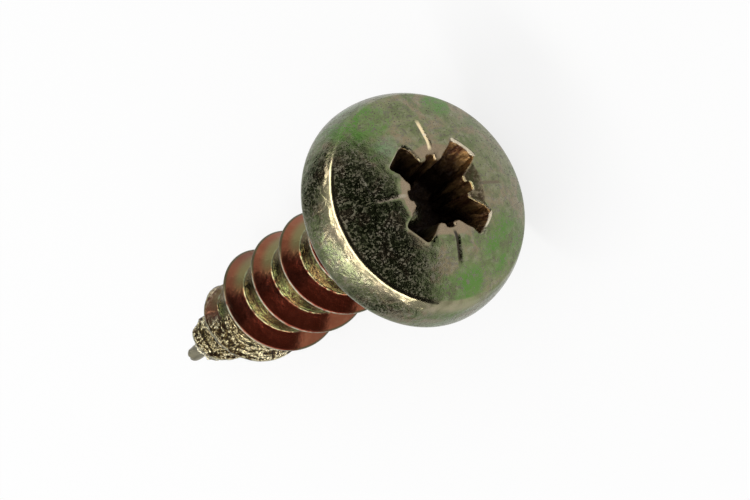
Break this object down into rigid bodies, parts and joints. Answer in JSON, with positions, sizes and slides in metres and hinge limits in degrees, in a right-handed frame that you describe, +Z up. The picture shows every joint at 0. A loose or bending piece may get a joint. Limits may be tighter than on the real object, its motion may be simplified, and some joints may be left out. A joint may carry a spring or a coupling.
{
  "type": "chipboard screw",
  "caption": "Steel wood screw with a domed round pan head, a cross drive recess with notches between its wings, a coarse thread up to the head and a gimlet point",
  "frame": {"origin": "centre of the bounding box's footprint, on the floor that the lying screw rests on", "axes": "+X from the head to the point, with the screw's axis leaning down 11.1 degrees towards the point, +Y across, +Z up"},
  "size_m": [0.0181, 0.008, 0.0079],
  "materials": {
    "screw": "zinc plated steel with a yellow iridescent passivation, slightly worn and speckled"
  },
  "bodies": {
    "root": {"screw": "screw"}
  },
  "joints": []
}
